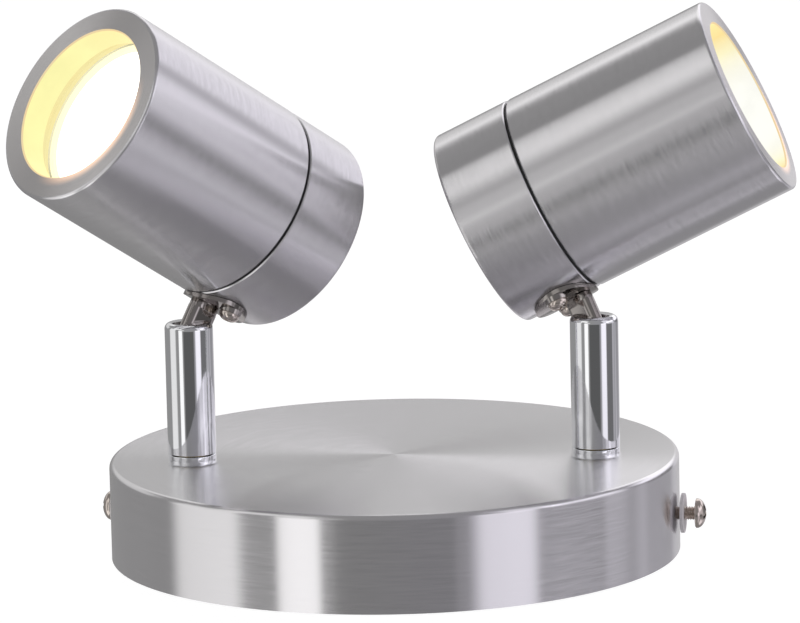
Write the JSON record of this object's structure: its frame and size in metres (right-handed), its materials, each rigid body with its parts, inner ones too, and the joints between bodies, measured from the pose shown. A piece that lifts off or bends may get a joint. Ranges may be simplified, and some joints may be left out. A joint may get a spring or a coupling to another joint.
{
  "type": "pivoting spotlight wall light",
  "caption": "Round canopy wall or ceiling light whose short chromed posts swivel and carry tilting tubular spot heads with reflector lamps behind sealed glass.",
  "frame": {"origin": "centre of the canopy on the wall plane, midway between the two wall screws", "axes": "+Z away from the wall along the canopy's axis, +X through both side screws and along the bracket, from the left screw to the right one"},
  "size_m": [0.2215, 0.165, 0.161],
  "materials": {
    "satin_nickel": "satin nickel, brushed in circles",
    "satin_nickel_head": "satin nickel plated, brushed round",
    "nickel_part": "satin nickel",
    "nickel_screw": "bright nickel",
    "chrome": "polished chrome",
    "zinc_steel": "zinc plated",
    "brass": "plain",
    "pale_washer": "grey sealing washer",
    "white_plastic": "terminal strip",
    "white_ceramic": null,
    "brown_insulation": "lead insulation",
    "blue_insulation": "lead insulation",
    "green_insulation": "lead insulation",
    "pale_sleeve": "heat-proof sleeve",
    "black_rubber": "seal",
    "tan_silicone": "glass seal",
    "clear_glass": "clear",
    "lamp_glass": "pressed glass reflector",
    "lamp_cover": "frosted and lit"
  },
  "bodies": {
    "base": {"canopy": "satin_nickel", "wall_bracket": "zinc_steel", "side_screws": "nickel_screw", "side_washers": "pale_washer", "terminal_block": "white_plastic", "terminal_barrels": "brass", "terminal_screws": "zinc_steel", "earth_screw": "brass", "nipples": "brass", "nipple_nuts": "zinc_steel", "nipple_washers": "zinc_steel", "swivel_nuts": "brass", "collars": "chrome", "live_leads": "brown_insulation", "neutral_leads": "blue_insulation", "earth_leads": "green_insulation"},
    "left_post": {"left_post_tube": "chrome", "left_foot_bush": "brass", "left_hinge_block": "zinc_steel", "left_hinge_pin": "zinc_steel", "left_post_leads": "pale_sleeve"},
    "left_head": {"left_knuckle": "nickel_part", "left_saddle": "nickel_part", "left_saddle_screws": "nickel_screw", "left_stem_nut": "zinc_steel", "left_rear_cup": "satin_nickel_head", "left_seal_ring": "black_rubber", "left_front_tube": "satin_nickel_head", "left_glass_seal": "tan_silicone", "left_glass": "clear_glass", "left_glass_ring": "zinc_steel", "left_lampholder": "white_ceramic", "left_holder_bracket": "zinc_steel", "left_holder_screws": "nickel_screw", "left_head_leads": "pale_sleeve", "left_lamp_base": "white_ceramic", "left_lamp_reflector": "lamp_glass", "left_lamp_lens": "lamp_cover"},
    "right_post": {"right_post_tube": "chrome", "right_foot_bush": "brass", "right_hinge_block": "zinc_steel", "right_hinge_pin": "zinc_steel", "right_post_leads": "pale_sleeve"},
    "right_head": {"right_knuckle": "nickel_part", "right_saddle": "nickel_part", "right_saddle_screws": "nickel_screw", "right_stem_nut": "zinc_steel", "right_rear_cup": "satin_nickel_head", "right_seal_ring": "black_rubber", "right_front_tube": "satin_nickel_head", "right_glass_seal": "tan_silicone", "right_glass": "clear_glass", "right_glass_ring": "zinc_steel", "right_lampholder": "white_ceramic", "right_holder_bracket": "zinc_steel", "right_holder_screws": "nickel_screw", "right_head_leads": "pale_sleeve", "right_lamp_base": "white_ceramic", "right_lamp_reflector": "lamp_glass", "right_lamp_lens": "lamp_cover"}
  },
  "joints": [
    {"name": "left_swivel", "type": "hinge", "parent": "base", "child": "left_post", "pos_m": [-0.05793, -0.00814, 0.034], "axis": [0, 0, 1], "range_deg": [-131, 49]},
    {"name": "left_tilt", "type": "hinge", "parent": "left_post", "child": "left_head", "pos_m": [-0.05793, -0.00814, 0.0625], "axis": [-0.7547, 0.6561, 0], "range_deg": [-35, 53]},
    {"name": "right_swivel", "type": "hinge", "parent": "base", "child": "right_post", "pos_m": [0.05793, 0.00814, 0.034], "axis": [0, 0, 1], "range_deg": [-43, 137]},
    {"name": "right_tilt", "type": "hinge", "parent": "right_post", "child": "right_head", "pos_m": [0.05793, 0.00814, 0.0625], "axis": [-0.6293, -0.7771, 0], "range_deg": [-36, 52]}
  ]
}
